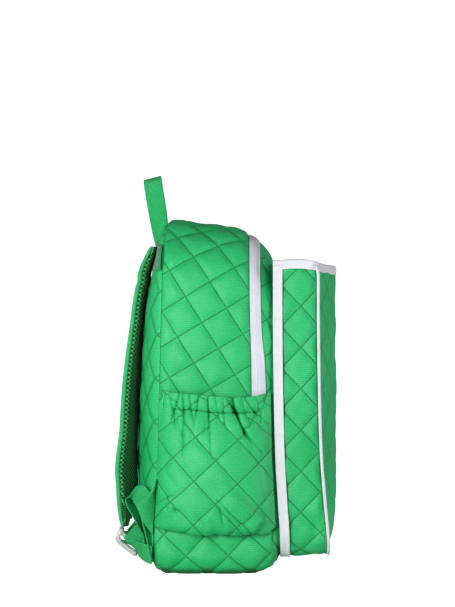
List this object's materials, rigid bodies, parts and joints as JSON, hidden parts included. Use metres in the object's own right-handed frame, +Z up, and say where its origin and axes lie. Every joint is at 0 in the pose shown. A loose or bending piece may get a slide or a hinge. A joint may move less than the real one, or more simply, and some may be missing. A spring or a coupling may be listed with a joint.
{
  "type": "tennis backpack",
  "caption": "Upright quilted backpack with a flat front sleeve, bulging gathered side pockets, an arched zip and padded shoulder straps, for carrying court sport gear on the back",
  "frame": {"origin": "middle of the flat base, on the ground", "axes": "+Z up to the top, +Y to the back panel and straps, -Y to the front sleeve, X across the width"},
  "size_m": [0.3652, 0.2901, 0.5216],
  "materials": {
    "quilted_nylon": "matte woven",
    "green_webbing": "ribbed weave",
    "spacer_mesh": "open knit",
    "white_grosgrain": "ribbed tape",
    "white_zip_tape": "ribbed tape",
    "clear_acetal": "moulded translucent",
    "nickel_plate": "satin plate"
  },
  "bodies": {
    "root": {"main_shell": "quilted_nylon", "back_panel": "quilted_nylon", "strap_yoke": "green_webbing", "zip_tape": "white_zip_tape", "zip_slider": "nickel_plate", "front_sleeve": "quilted_nylon", "sleeve_seam_binding": "white_grosgrain", "sleeve_piping": "white_grosgrain", "sleeve_mouth_binding": "white_grosgrain", "haul_loop": "green_webbing", "side_pocket_left": "quilted_nylon", "side_pocket_right": "quilted_nylon", "strap_left": "quilted_nylon", "strap_right": "quilted_nylon", "strap_mesh_left": "spacer_mesh", "strap_mesh_right": "spacer_mesh", "buckle_left": "clear_acetal", "buckle_right": "clear_acetal", "lower_web_left": "green_webbing", "lower_web_right": "green_webbing", "web_tail_left": "green_webbing", "web_tail_right": "green_webbing", "anchor_tab_left": "quilted_nylon", "anchor_tab_right": "quilted_nylon"}
  },
  "joints": []
}
